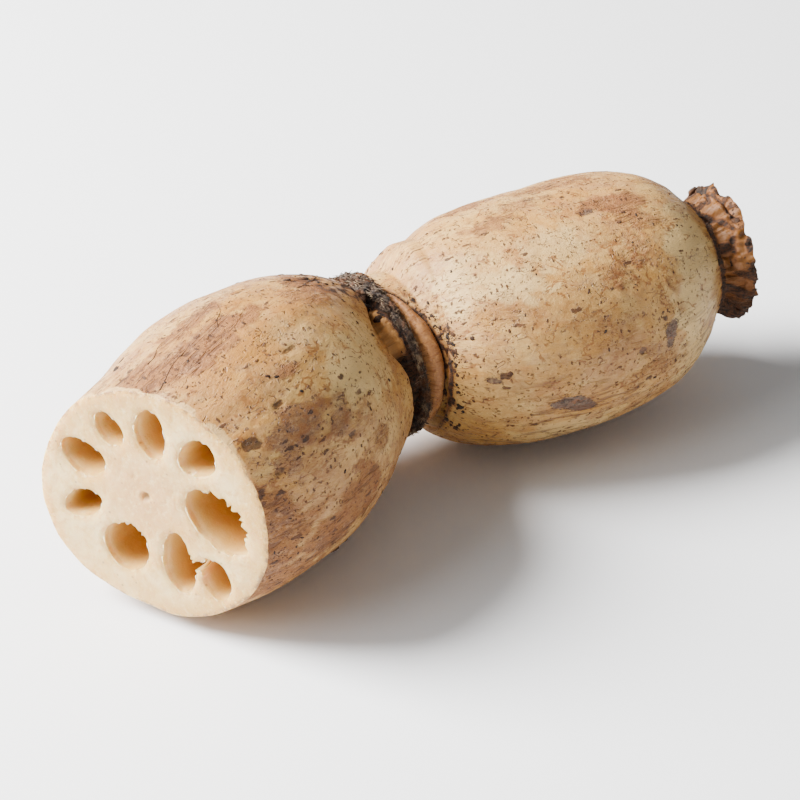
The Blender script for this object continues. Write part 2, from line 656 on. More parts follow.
# Rounds the mouths and the outer edge of the cut, and paints how deep each point lies
def finishCut(body, fleshSlot):
    points = getPoints(body)
    onSkin = np.zeros(len(points), bool)
    onFlesh = np.zeros(len(points), bool)
    onPlane = np.abs((points - cutCentre) @ cutNormal) < 0.02
    onWall = np.zeros(len(points), bool)
    for face in body.data.polygons:
        ids = list(face.vertices)
        if face.material_index == fleshSlot:
            onFlesh[ids] = True
            if not onPlane[ids].all():
                onWall[ids] = True
        else:
            onSkin[ids] = True
    mouths = np.where(onPlane & onWall & ~onSkin)[0]
    rim = np.where(onPlane & onSkin & onFlesh)[0]

    def distanceTo(ids, which):
        tree = kdtree.KDTree(len(ids))
        for k, i in enumerate(ids):
            tree.insert(Vector(points[i]), k)
        tree.balance()
        out = np.full(len(points), 99.0)
        for i in np.where(which)[0]:
            out[i] = tree.find(Vector(points[i]))[2]
        return out

    toMouth = distanceTo(mouths, onFlesh)
    toRim = distanceTo(rim, onFlesh | (onSkin & ((points - cutCentre) @ cutNormal > -8)))
    depth = -(points - cutCentre) @ cutNormal
    straight = unbendPoints(points)
    sink = flesh["lip"] * np.clip(1 - toMouth / flesh["lipWidth"], 0, 1) ** 2
    sink = sink + flesh["edge"] * np.clip(1 - toRim / flesh["edgeWidth"], 0, 1) ** 2
    wave = np.array([noise.noise(Vector(p) / 9.0) + 0.3 * noise.noise(Vector(p) / 2.5) for p in points])
    share = np.where(onPlane, 1.0, np.clip(1 - toRim / flesh["edgeWidth"], 0, 1) ** 2)
    sink += flesh["waves"] * wave * share
    moved = onPlane | (onSkin & (toRim < flesh["edgeWidth"]))
    core = flesh["core"]
    left, up = sideAndUp(frontWay)
    middle = cutCentre - left * core[0] + up * core[1]
    fromCore = np.linalg.norm(points - middle, axis=1)
    pits = [(0.2, 0.4, 1.5, 1.3, 1.1), (-20.0, -18.3, 1.5, 0.7, 0.6), (-3.2, 5.2, 1.0, 0.3, 0.5), (17, 12, 0.8, 0.2, 0.3),
            (12.6, 5.2, 1.5, 0.2, 1.4), (14.6, 6.4, 1.4, 0.1, 1.2), (17.5, 7.6, 1.2, 0.0, 0.9), (26.6, 3.5, 1.2, 0.0, 0.7),
            (28.6, -0.5, 1.1, 0.0, 0.7), (-9.4, -9.6, 1.3, 0.1, 0.7), (16.2, -13.4, 1.2, 0.1, 1.0)]
    pitCover = np.zeros(len(points))
    for right, above, size, deep, strength in pits:
        spot = middle - left * right + up * above
        near = np.linalg.norm(points - spot, axis=1) / size
        sink += deep * (1 - smoothStep(0.2, 1.1, near)) * onPlane
        pitCover = np.maximum(pitCover, (1 - smoothStep(0.3, 1.2, near)) * onPlane * strength)
    points[moved] -= np.outer(sink[moved], cutNormal)
    setPoints(body, layOnFloor(points))
    wallDepth = np.where(onWall & ~onPlane, np.clip(depth, 0, 80), 0) * (onFlesh & ~onSkin)
    paint(body, "cutPlace", np.stack([wallDepth / 10, np.clip(toRim, 0, 30) / 10,
                                      np.clip(toMouth, 0, 30) / 10], 1), "FLOAT_VECTOR")
    paint(body, "cutPaint", np.stack([pitCover, np.clip(fromCore / 34, 0, 1), onPlane * 1.0], 1))
    return straight, toRim


# Skin colours that marks and crevices bring, as three painted layers
def paintSkin(body, straight, tissue, grime, pale, gloss, line):
    along, turn = straight[:, 0], turnOf(straight)
    cover = markCover(along, turn)
    paint(body, "marksOne", np.stack([cover["bruise"], cover["smear"], cover["dark"]], 1))
    paint(body, "marksTwo", np.stack([cover["scar"], cover["ring"], pale], 1))
    paint(body, "marksThree", np.stack([cover["fair"], cover["dirt"], line], 1))
    paint(body, "marksFour", np.stack([cover["warm"], cover["warm"] * 0, cover["warm"] * 0], 1))
    paint(body, "crevice", np.stack([tissue, grime, gloss], 1))
    paintStraight(body, straight)


# ---- materials

class Nodes:
    def __init__(self, name):
        self.material = bpy.data.materials.new(name)
        self.material.use_nodes = True
        self.tree = self.material.node_tree
        self.shader = self.tree.nodes["Principled BSDF"]
        self.column = -2200

    def add(self, kind, **settings):
        node = self.tree.nodes.new(kind)
        node.location = (self.column, 0)
        self.column += 40
        for key, value in settings.items():
            setattr(node, key, value)
        return node

    def join(self, output, socket):
        self.tree.links.new(output, socket)

    def feed(self, socket, value):
        if isinstance(value, bpy.types.NodeSocket):
            self.join(value, socket)
        else:
            socket.default_value = value

    def layer(self, name):
        return self.add("ShaderNodeAttribute", attribute_name=name)

    def parts(self, output):
        node = self.add("ShaderNodeSeparateXYZ")
        self.join(output, node.inputs[0])
        return node.outputs

    def stretched(self, vector, scale, place=(0, 0, 0)):
        node = self.add("ShaderNodeMapping")
        self.join(vector, node.inputs["Vector"])
        node.inputs["Scale"].default_value = scale
        node.inputs["Location"].default_value = place
        return node.outputs[0]

    def noise(self, vector, scale, detail=3.0, roughness=0.55, distortion=0.0):
        node = self.add("ShaderNodeTexNoise")
        self.join(vector, node.inputs["Vector"])
        node.inputs["Scale"].default_value = scale
        node.inputs["Detail"].default_value = detail
        node.inputs["Roughness"].default_value = roughness
        node.inputs["Distortion"].default_value = distortion
        return node.outputs[0]

    def cells(self, vector, scale, feature="F1", randomness=1.0):
        node = self.add("ShaderNodeTexVoronoi", feature=feature)
        self.join(vector, node.inputs["Vector"])
        node.inputs["Scale"].default_value = scale
        node.inputs["Randomness"].default_value = randomness
        return node

    def sums(self, operation, a, b=0.0, c=0.0, clamp=False):
        node = self.add("ShaderNodeMath", operation=operation, use_clamp=clamp)
        for socket, value in zip(node.inputs, (a, b, c)):
            self.feed(socket, value)
        return node.outputs[0]

    def spread(self, value, low, high, toLow=0.0, toHigh=1.0):
        node = self.add("ShaderNodeMapRange", interpolation_type="SMOOTHSTEP")
        self.join(value, node.inputs["Value"])
        node.inputs["From Min"].default_value = low
        node.inputs["From Max"].default_value = high
        node.inputs["To Min"].default_value = toLow
        node.inputs["To Max"].default_value = toHigh
        return node.outputs[0]

    def mix(self, share, a, b, blend="MIX"):
        node = self.add("ShaderNodeMix", data_type="RGBA", blend_type=blend)
        self.feed(node.inputs[0], share)
        for socket, value in ((node.inputs[6], a), (node.inputs[7], b)):
            self.feed(socket, value if isinstance(value, bpy.types.NodeSocket) else (*value, 1.0))
        return node.outputs[2]

    def bump(self, height, strength, distance, under=None):
        node = self.add("ShaderNodeBump")
        self.join(height, node.inputs["Height"])
        node.inputs["Strength"].default_value = strength
        node.inputs["Distance"].default_value = distance
        if under is not None:
            self.join(under, node.inputs["Normal"])
        return node.outputs[0]

    def set(self, **values):
        for name, value in values.items():
            self.feed(self.shader.inputs[name.replace("_", " ")], value)


skinColours = {
    "cream": (0.54, 0.305, 0.090), "tan": (0.37, 0.170, 0.044), "honey": (0.46, 0.212, 0.036),
    "pink": (0.35, 0.142, 0.050), "streak": (0.100, 0.034, 0.009), "speck": (0.034, 0.013, 0.005),
    "bruise": (0.150, 0.064, 0.031), "smear": (0.250, 0.094, 0.022), "scar": (0.145, 0.092, 0.054),
    "dark": (0.028, 0.013, 0.007), "tissue": (0.62, 0.285, 0.080), "grime": (0.016, 0.008, 0.004),
    "pale": (0.60, 0.375, 0.125), "lilac": (0.40, 0.205, 0.086), "gloss": (0.36, 0.150, 0.050),
    "stain": (0.210, 0.070, 0.014), "rim": (0.60, 0.36, 0.130), "stub": (0.150, 0.052, 0.003),
    "fair": (0.66, 0.45, 0.180), "warm": (0.40, 0.165, 0.028),
}


# Dark grains: the share of cells that hold one rises with the thickness field
def grains(m, even, scale, size, share, shift, thick, squeeze=(0.8, 1.0, 1.0), shape=0.5):
    shake = m.add("ShaderNodeTexNoise")
    m.join(even, shake.inputs["Vector"])
    shake.inputs["Scale"].default_value = scale * 2.6
    shake.inputs["Detail"].default_value = 3.0
    shake.inputs["Roughness"].default_value = 0.7
    amount = m.add("ShaderNodeVectorMath", operation="SCALE")
    m.join(shake.outputs["Color"], amount.inputs[0])
    amount.inputs["Scale"].default_value = shape / scale
    moved = m.add("ShaderNodeVectorMath", operation="ADD")
    m.join(m.stretched(even, squeeze, (shift, shift * 0.5, 1.0)), moved.inputs[0])
    m.join(amount.outputs[0], moved.inputs[1])
    cell = m.cells(moved.outputs[0], scale)
    chance = m.parts(cell.outputs["Color"])
    reach = m.sums("MULTIPLY_ADD", chance[1], size * 1.3, size * 0.35)
    dot = m.spread(m.sums("SUBTRACT", reach, cell.outputs["Distance"]), -0.03, 0.05)
    chosen = m.sums("GREATER_THAN", m.sums("MULTIPLY", thick, share), chance[0])
    return m.sums("MULTIPLY", dot, chosen)


# Thin broken lines where a field crosses its middle
def hairLines(m, place, scale, width, breaks, detail=2.0):
    field = m.noise(place, scale, detail, 0.55, 0.4)
    away = m.sums("ABSOLUTE", m.sums("SUBTRACT", field, 0.5))
    line = m.spread(away, width * 0.4, width, 1.0, 0.0)
    return m.sums("MULTIPLY", line, breaks)


def makeSkinMaterial():
    m = Nodes("rootSkin")
    colour = skinColours
    even = m.layer("evenPlace").outputs["Vector"]
    at = m.parts(even)
    marksOne = m.parts(m.layer("marksOne").outputs["Vector"])
    marksTwo = m.parts(m.layer("marksTwo").outputs["Vector"])
    marksThree = m.parts(m.layer("marksThree").outputs["Vector"])
    crevice = m.parts(m.layer("crevice").outputs["Vector"])
    blotch = m.noise(even, 4.0, 5, 0.7, 0.3)
    broken = m.noise(m.stretched(even, (1.0, 1.5, 1.5)), 3.2, 6, 0.72, 0.5)

    flaked = m.noise(m.stretched(even, (0.7, 1.3, 1.3), (3, 6, 1)), 22.0, 4, 0.75)
    # a mark's edge is eaten away by a field
    def frayed(share, field, low=0.30, high=0.52, bite=0.9):
        return m.spread(m.sums("ADD", share, m.sums("MULTIPLY", m.sums("SUBTRACT", field, 0.5), bite)), low, high)

    # cloudy ground from cream to tan, with honey, lilac and pink patches
    isFront = m.spread(at[0], -1.6, -0.4, 1.0, 0.0)
    broad = m.noise(even, 0.55, 4, 0.6, 0.4)
    ground = m.mix(m.spread(m.sums("MULTIPLY_ADD", isFront, 0.04, broad), 0.42, 0.64), colour["cream"], colour["tan"])
    honey = m.noise(m.stretched(even, (1, 1, 1), (7, 3, 1)), 0.8, 3, 0.55)
    ground = m.mix(m.sums("MULTIPLY", m.spread(honey, 0.46, 0.62), 0.75), ground, colour["honey"])
    pale = m.noise(m.stretched(even, (0.8, 1.2, 1.2), (3, 4, 2)), 0.9, 4, 0.55, 0.3)
    ground = m.mix(m.sums("MULTIPLY", m.spread(pale, 0.52, 0.66), 0.65), ground, colour["pale"])
    lilac = m.noise(m.stretched(even, (0.9, 1.1, 1.1), (2, 9, 5)), 1.0, 5, 0.68, 0.6)
    ground = m.mix(m.sums("MULTIPLY", m.spread(lilac, 0.53, 0.60), 0.50), ground, colour["lilac"])
    pink = m.noise(m.stretched(even, (0.8, 1.1, 1.1), (5, 1, 8)), 1.25, 6, 0.68, 0.8)
    ground = m.mix(m.sums("MULTIPLY", m.spread(pink, 0.53, 0.60), 0.42), ground, colour["pink"])
    stain = m.noise(m.stretched(even, (0.8, 1.2, 1.2), (8, 5, 3)), 1.6, 7, 0.75, 0.9)
    more = m.sums("MULTIPLY_ADD", isFront, 0.035, stain)
    ground = m.mix(m.sums("MULTIPLY", m.spread(more, 0.545, 0.65), 0.70), ground, colour["stain"])
    mottle = m.noise(even, 8.0, 5, 0.75)
    ground = m.mix(m.spread(mottle, 0.38, 0.70, 0.0, 0.42), ground, colour["tan"])
    ground = m.mix(m.spread(mottle, 0.52, 0.34, 0.0, 0.30), ground, colour["pale"])

    fair = frayed(marksThree[0], broken, 0.15, 1.0, 0.9)
    ground = m.mix(m.sums("MULTIPLY", fair, 0.75), ground, colour["fair"])

    warmShare = m.parts(m.layer("marksFour").outputs["Vector"])[0]
    warm = frayed(warmShare, broken, 0.10, 0.95, 1.1)
    ground = m.mix(m.sums("MULTIPLY", warm, 0.78), ground, m.mix(m.spread(mottle, 0.44, 0.62), colour["warm"], colour["honey"]))

    # fine streaks along the root
    streak = m.noise(m.stretched(even, (0.45, 4.0, 4.0)), 1.6, 4, 0.6, 0.25)
    where = m.spread(m.noise(even, 0.9, 2, 0.5), 0.42, 0.62)
    streakShare = m.sums("MULTIPLY", m.spread(streak, 0.57, 0.68), m.sums("MULTIPLY", where, 0.12))
    ground = m.mix(streakShare, ground, colour["streak"])

    # marks: smears, bruises, scars with a dark edge, rings
    smear = frayed(marksOne[1], broken, 0.10, 0.85, 1.3)
    smearTone = m.mix(m.spread(blotch, 0.40, 0.60), colour["smear"], colour["stain"])
    smearTone = m.mix(m.spread(mottle, 0.46, 0.62, 0.0, 0.5), smearTone, colour["pink"])
    ground = m.mix(m.sums("MULTIPLY", smear, 0.85), ground, smearTone)
    ground = m.mix(m.sums("MULTIPLY", m.spread(streak, 0.54, 0.66), m.sums("MULTIPLY", smear, 0.35)), ground, colour["streak"])
    bruise = frayed(marksOne[0], blotch, 0.10, 0.90, 1.1)
    bruiseTone = m.mix(m.spread(broken, 0.40, 0.56), colour["bruise"], colour["smear"])
    bruiseTone = m.mix(m.spread(mottle, 0.50, 0.60, 0.0, 0.75), bruiseTone, colour["lilac"])
    ground = m.mix(m.sums("MULTIPLY", bruise, 0.82), ground, bruiseTone)
    either = m.sums("ADD", smear, bruise, clamp=True)
    ground = m.mix(m.sums("MULTIPLY", m.spread(flaked, 0.53, 0.60), m.sums("MULTIPLY_ADD", either, 0.5, 0.10)), ground, colour["streak"])
    scar = frayed(marksTwo[0], flaked, 0.25, 0.70, 1.5)
    scarEdge = m.spread(m.sums("ABSOLUTE", m.sums("SUBTRACT", marksTwo[0], 0.40)), 0.05, 0.38, 1.0, 0.0)
    scarTone = m.mix(m.spread(flaked, 0.44, 0.58), colour["scar"], colour["bruise"])
    ground = m.mix(scar, ground, m.mix(m.spread(mottle, 0.50, 0.60, 0.0, 0.85), scarTone, colour["dark"]))
    edgeBits = m.sums("MULTIPLY", scarEdge, m.spread(flaked, 0.46, 0.56))
    ground = m.mix(m.sums("MULTIPLY", edgeBits, 0.9), ground, colour["dark"])
    ring = m.sums("MULTIPLY", marksTwo[1], m.spread(broken, 0.40, 0.56))
    ground = m.mix(m.sums("MULTIPLY", ring, 1.5, clamp=True), ground, colour["stain"])

    # short curved creases everywhere, long ones low on the whole segment
    thick = m.noise(m.stretched(even, (1, 1, 1), (6, 2, 9)), 0.9, 4, 0.65)
    marked = m.sums("ADD", smear, bruise, clamp=True)
    lowBack = m.sums("MULTIPLY", m.spread(at[2], -1.6, 1.8, 1.0, 0.0), m.spread(at[0], 0.8, 3.6))
    lowBack = m.sums("MAXIMUM", lowBack, m.sums("MULTIPLY", smear, 0.8))
    breaks = m.spread(m.noise(m.stretched(even, (1, 1, 1), (3, 3, 3)), 3.4, 3, 0.6), 0.53, 0.60)
    creases = hairLines(m, m.stretched(even, (0.8, 1.2, 1.2), (1, 5, 2)), 2.6, 0.016, breaks)
    moreBreaks = m.spread(m.noise(m.stretched(even, (1, 1, 1), (9, 3, 4)), 4.4, 3, 0.6), 0.54, 0.60)
    scratches = hairLines(m, m.stretched(even, (1.0, 1.6, 1.6), (6, 1, 7)), 5.0, 0.03,
                          m.sums("MULTIPLY", moreBreaks, m.spread(m.sums("ADD", thick, m.sums("MULTIPLY", marked, 0.2)), 0.42, 0.60)))
    veinBreaks = m.spread(m.noise(m.stretched(even, (1, 1, 1), (7, 7, 3)), 1.6, 3, 0.6), 0.50, 0.58)
    veins = hairLines(m, m.stretched(even, (0.8, 1.0, 1.0), (9, 5, 6)), 1.25, 0.020, veinBreaks, 5.0)
    ground = m.mix(m.sums("MULTIPLY", veins, 0.75), ground, colour["stain"])
    longBreaks = m.spread(m.noise(m.stretched(even, (0.6, 1.6, 1.6), (2, 8, 1)), 2.0, 4, 0.65), 0.44, 0.54)
    longLines = hairLines(m, m.stretched(even, (0.22, 1.5, 1.5), (4, 2, 8)), 2.1, 0.045, m.sums("MULTIPLY", longBreaks, lowBack), 3.0)
    lines = m.sums("MAXIMUM", m.sums("MAXIMUM", creases, m.sums("MULTIPLY", scratches, 0.85)), longLines)
    ground = m.mix(m.sums("MULTIPLY", lines, 0.80), ground, colour["streak"])

    # grains of dirt in clusters
    dirty = m.sums("MULTIPLY_ADD", marked, 0.12, thick)
    dirty = m.sums("MULTIPLY_ADD", marksThree[1], 0.26, dirty)
    dirty = m.sums("ADD", dirty, m.sums("MULTIPLY", isFront, 0.09))
    dirty = m.spread(dirty, 0.34, 0.62, 0.16, 1.0)
    large = grains(m, even, 2.2, 0.115, 0.42, 0.0, dirty)
    medium = grains(m, even, 3.6, 0.135, 0.66, 4.0, dirty, (0.45, 1.15, 1.15), 0.6)
    small = grains(m, even, 5.6, 0.145, 0.82, 8.0, dirty, (1.2, 0.5, 0.75), 0.6)
    dust = grains(m, even, 9.0, 0.19, 0.80, 12.0, dirty, (0.8, 1.0, 1.0), 0.5)
    dashes = grains(m, even, 4.2, 0.20, 0.95, 16.0, m.spread(m.sums("MULTIPLY", marksThree[1], thick), 0.20, 0.50), (0.60, 1.3, 1.3), 0.6)
    specks = m.sums("MAXIMUM", large, m.sums("MAXIMUM", medium, m.sums("MAXIMUM", small, m.sums("MAXIMUM", dashes, m.sums("MULTIPLY", dust, 0.75)))))
    tone = m.mix(m.spread(mottle, 0.40, 0.60), colour["speck"], colour["streak"])
    ground = m.mix(m.sums("MULTIPLY", specks, 0.92), ground, tone)
    darkMark = frayed(marksOne[2], broken, 0.40, 0.80, 1.6)
    ground = m.mix(m.sums("MULTIPLY", darkMark, 0.85), ground, m.mix(m.spread(mottle, 0.40, 0.62), colour["speck"], colour["streak"]))

    # pale frayed edge by the cut, bare tissue, the glossy band and grime by the nodes
    ground = m.mix(frayed(marksTwo[2], broken, 0.30, 0.70, 1.0), ground, colour["rim"])
    tissueTone = m.mix(m.spread(crevice[0], 0.78, 0.95), colour["tissue"], colour["stub"])
    tissueTone = m.mix(m.spread(blotch, 0.50, 0.66, 0.0, 0.35), tissueTone, colour["stain"])
    tissueTone = m.mix(m.spread(broken, 0.54, 0.70, 0.0, 0.40), tissueTone, colour["streak"])
    ground = m.mix(m.sums("MULTIPLY", crevice[0], 1.3, clamp=True), ground, tissueTone)
    bandTone = m.mix(m.spread(blotch, 0.50, 0.68, 0.0, 0.6), colour["gloss"], colour["tissue"])
    bandTone = m.mix(m.spread(m.noise(m.stretched(even, (0.5, 2.2, 2.2)), 3.0, 4, 0.65), 0.50, 0.62, 0.0, 0.7), bandTone, colour["stain"])
    ground = m.mix(crevice[2], ground, bandTone)
    shoulderEdge = m.sums("MULTIPLY", marksThree[2], m.spread(broken, 0.38, 0.52))
    ground = m.mix(m.sums("MULTIPLY", shoulderEdge, 0.85), ground, colour["streak"])
    grime = frayed(crevice[1], flaked, 0.32, 0.72, 1.1)
    grime = m.sums("MULTIPLY", grime, m.spread(crevice[1], 0.02, 0.12))
    halo = m.sums("MULTIPLY", m.spread(crevice[1], 0.04, 0.30), 0.6)
    ground = m.mix(halo, ground, colour["stain"])
    ground = m.mix(grime, ground, m.mix(m.spread(mottle, 0.4, 0.62), colour["grime"], colour["streak"]))

    fine = m.noise(even, 12.0, 5, 0.7)
    raised = m.sums("MAXIMUM", specks, m.sums("MULTIPLY", grime, mottle))
    height = m.sums("MULTIPLY_ADD", fine, 0.35, m.sums("MULTIPLY", broken, 0.6))
    height = m.sums("MULTIPLY_ADD", raised, 0.7, height)
    height = m.sums("SUBTRACT", height, m.sums("MULTIPLY", lines, 0.9))
    height = m.sums("MULTIPLY_ADD", m.sums("MULTIPLY", flaked, m.sums("ADD", either, grime)), 0.6, height)
    height = m.sums("MULTIPLY_ADD", stain, 0.6, height)
    m.set(Base_Color=ground, Normal=m.bump(height, 0.75, 0.0006))
    dry = m.sums("MAXIMUM", m.sums("MAXIMUM", smear, specks), grime)
    rough = m.sums("MULTIPLY_ADD", dry, 0.25, m.spread(broken, 0.3, 0.7, 0.40, 0.56))
    rough = m.sums("SUBTRACT", rough, m.sums("MULTIPLY", crevice[2], 0.14), clamp=True)
    m.set(Roughness=rough, Specular_IOR_Level=0.40)
    return m.material


fleshColours = {
    "cream": (0.63, 0.385, 0.108), "core": (0.60, 0.325, 0.105), "butter": (0.58, 0.335, 0.075), "pale": (0.74, 0.545, 0.250),
    "wallMouth": (0.60, 0.345, 0.095), "wallMiddle": (0.52, 0.245, 0.050), "wallDeep": (0.34, 0.135, 0.026),
    "pit": (0.37, 0.175, 0.040), "rim": (0.20, 0.095, 0.035), "fleck": (0.22, 0.095, 0.028),
}


def makeFleshMaterial():
    m = Nodes("rootFlesh")
    colour = fleshColours
    place = m.add("ShaderNodeTexCoord").outputs["Object"]
    cut = m.parts(m.layer("cutPlace").outputs["Vector"])
    painted = m.parts(m.layer("cutPaint").outputs["Vector"])
    cloud = m.noise(place, 90, 5, 0.65, 0.3)
    ground = m.mix(m.spread(cloud, 0.38, 0.62), colour["cream"], colour["pale"])
    coreShare = m.spread(painted[1], 0.10, 0.60, 0.85, 0.0)
    ground = m.mix(coreShare, ground, colour["core"])
    yellow = m.noise(place, 55, 4, 0.55)
    edgeShare = m.spread(cut[1], 0.0, 0.8, 1.0, 0.0)
    ground = m.mix(m.sums("MULTIPLY", edgeShare, m.spread(yellow, 0.40, 0.60, 0.35, 0.95)), ground, colour["butter"])
    mouthShare = m.spread(cut[2], 0.0, 0.20, 0.4, 0.0)
    ground = m.mix(mouthShare, ground, colour["butter"])
    grain = m.noise(place, 520, 5, 0.72)
    ground = m.mix(m.spread(grain, 0.50, 0.68, 0.0, 0.65), ground, colour["core"])
    ground = m.mix(m.spread(grain, 0.48, 0.34, 0.0, 0.7), ground, colour["pale"])
    # small brown flecks
    cell = m.cells(place, 560)
    chance = m.parts(cell.outputs["Color"])
    fleck = m.sums("MULTIPLY", m.spread(cell.outputs["Distance"], 0.12, 0.26, 1.0, 0.0), m.spread(chance[0], 0.84, 0.90))
    ground = m.mix(m.sums("MULTIPLY", fleck, 0.60), ground, colour["fleck"])
    ground = m.mix(m.sums("MULTIPLY", painted[0], 0.7, clamp=True), ground, colour["pit"])
    # channel walls deepen in colour inwards
    uneven = m.sums("ADD", cut[0], m.sums("MULTIPLY", m.sums("SUBTRACT", m.noise(place, 240, 4, 0.65), 0.5), 0.16))
    wall = m.mix(m.spread(uneven, 0.0, 0.30), ground, colour["wallMouth"])
    wall = m.mix(m.spread(uneven, 0.12, 0.80), wall, colour["wallMiddle"])
    wall = m.mix(m.spread(uneven, 0.8, 2.8), wall, colour["wallDeep"])
    rimBits = m.noise(place, 420, 4, 0.7)
    rimLine = m.sums("MULTIPLY", m.spread(cut[1], 0.02, 0.13, 1.0, 0.0), m.spread(rimBits, 0.46, 0.58))
    wall = m.mix(m.sums("MULTIPLY", rimLine, 0.75), wall, colour["rim"])
    height = m.sums("MULTIPLY_ADD", grain, 1.0, m.sums("MULTIPLY", m.noise(place, 210, 4, 0.6), 2.2))
    height = m.sums("MULTIPLY", height, m.spread(cut[0], 0.0, 0.15, 1.0, 0.25))
    m.set(Base_Color=wall, Normal=m.bump(height, 0.55, 0.0008))
    m.set(Roughness=m.spread(cloud, 0.3, 0.7, 0.26, 0.44))
    m.set(Specular_IOR_Level=0.45, Subsurface_Weight=0.75, Subsurface_Scale=0.004)
    m.shader.inputs["Subsurface Radius"].default_value = (1.0, 0.65, 0.30)
    return m.material


huskColours = {"black": (0.010, 0.006, 0.004), "brown": (0.050, 0.023, 0.011), "grey": (0.160, 0.118, 0.085),
               "orange": (0.20, 0.068, 0.016), "straw": (0.36, 0.26, 0.155)}


# Dry fibres: how much grey shows through the dark, how much orange, and how much straw
def makeHuskMaterial(name, light, warm, straw=0.0):
    m = Nodes(name)
    colour = huskColours
    place = m.add("ShaderNodeTexCoord").outputs["Object"]
    cloud = m.noise(place, 420, 5, 0.7, 0.4)
    fibre = m.noise(m.stretched(place, (300, 1300, 1300)), 1.0, 4, 0.7, 0.3)
    ground = m.mix(m.spread(cloud, 0.36, 0.60), colour["black"], colour["brown"])
    ground = m.mix(m.sums("MULTIPLY", m.spread(fibre, 0.45, 0.66), light), ground, colour["grey"])
    patches = m.noise(place, 230, 3, 0.6)
    ground = m.mix(m.sums("MULTIPLY", m.spread(patches, 0.50, 0.62), warm), ground, colour["orange"])
    ground = m.mix(m.sums("MULTIPLY", m.spread(cloud, 0.50, 0.62), straw), ground, colour["straw"])
    height = m.sums("ADD", m.sums("MULTIPLY", fibre, 0.8), m.sums("MULTIPLY", cloud, 0.7))
    m.set(Base_Color=ground, Normal=m.bump(height, 0.9, 0.0007), Roughness=m.spread(fibre, 0.3, 0.7, 0.55, 0.9))
    m.set(Specular_IOR_Level=0.3)
    return m.material


skinMaterial = makeSkinMaterial()
fleshMaterial = makeFleshMaterial()
ridgeMaterial = makeHuskMaterial("nodeHusk", 0.60, 0.35)
hairMaterial = makeHuskMaterial("huskHair", 1.0, 0.4, 0.75)
soilMaterial = makeHuskMaterial("pondSoil", 0.14, 0.25)
print("materials made")


# ---- build the cut segment

frontBody = makeFrontSkin()
frontBody.data.materials.append(skinMaterial)
cutWith(frontBody, makeEndSlab(fleshMaterial))
for number, entry in enumerate(channels, 1):
    cutWith(frontBody, makeChannel(number, *entry, fleshMaterial))
cutWith(frontBody, makeSlit(fleshMaterial))
slots = [m.name for m in frontBody.data.materials]
frontStraight, rimDistance = finishCut(frontBody, slots.index(fleshMaterial.name))
along, turn = frontStraight[:, 0], turnOf(frontStraight)
pulled = along + curveThrough(front["shoulder"], wrapped(turn))
wobble = fieldAt(along, turn, 5.0, 21, octaves=2)
tissueShare = smoothStep(-12.4, -11.0, pulled + wobble * 0.5) * 0.72
shoulderLine = np.exp(-((pulled + 11.1 + wobble * 0.4) / 0.7) ** 2) * smoothStep(-0.5, 0.1, wobble)
lowerSide = smoothStep(14, 52, np.abs(wrapped(turn - 120)) + wobble * 16)
grimeShare = np.clip(smoothStep(-11.6, -10.4, pulled + wobble * 0.8) * (0.05 + 1.2 * lowerSide)
                     + smoothStep(-9.6, -7.6, along + wobble) * 0.75, 0, 1)
crust = smoothStep(-40, -22, along) * (1 - smoothStep(12, 30, np.abs(wrapped(turn - 82)) + wobble * 8))
grimeShare = np.maximum(grimeShare, crust * 0.85 * smoothStep(-0.35, 0.30, fieldAt(along, turn, 3.0, 23, octaves=2)))
upperRim = 1 - smoothStep(50, 75, np.abs(wrapped(turn - 80)))
paleRim = (1 - smoothStep(0.1, 2.2, rimDistance + wobble * 2.4)) * (0.12 + 0.78 * upperRim)
paintSkin(frontBody, frontStraight, tissueShare, grimeShare, paleRim, np.zeros(len(along)), shoulderLine)
smoothShade(frontBody, 64)
print("cut segment made")


# ---- the whole segment, with the start of its stub

back = {"sides": 72 if not rough else 48, "levels": 2, "bandEdge": [(-180, 4.8), (-157, 4.2), (-120, 5.0), (-60, 3.5),
                                                                     (0, 3.0), (60, 0.5), (92, -3.0), (106, -1.6),
                                                                     (121, 0.8), (137, 4.0), (152, 5.3), (166, 5.8),
                                                                     (180, 4.8)]}


def bandEdgeAt(turn):
    return curveThrough(back["bandEdge"], wrapped(turn))


# folds in the stub: from along and turn, to along and turn, then width
stubFolds = [(99.3, 70, 101.6, 90, 0.7), (101.6, 90, 103.0, 76, 0.6), (97.8, 98, 103.3, 127, 1.0), (102.2, 136, 101.0, 160, 0.9),
             (103.2, 58, 104.4, 122, 0.6), (99.0, -160, 103.5, -140, 0.9), (99.0, 20, 103.0, 30, 0.9),
             (98.5, -60, 103.5, -72, 1.0), (99.0, -20, 103.0, -8, 0.8)]


def foldShare(along, turn):
    share = np.zeros(len(along))
    arc = math.radians(1) * 18.5
    for startAlong, startTurn, endAlong, endTurn, width in stubFolds:
        ahead, across = along - startAlong, wrapped(turn - startTurn) * arc
        runAhead, runAcross = endAlong - startAlong, (endTurn - startTurn) * arc
        t = np.clip((ahead * runAhead + across * runAcross) / (runAhead ** 2 + runAcross ** 2), 0, 1)
        gap = np.hypot(ahead - t * runAhead, across - t * runAcross)
        share = np.maximum(share, np.exp(-(gap / width) ** 2))
    return share


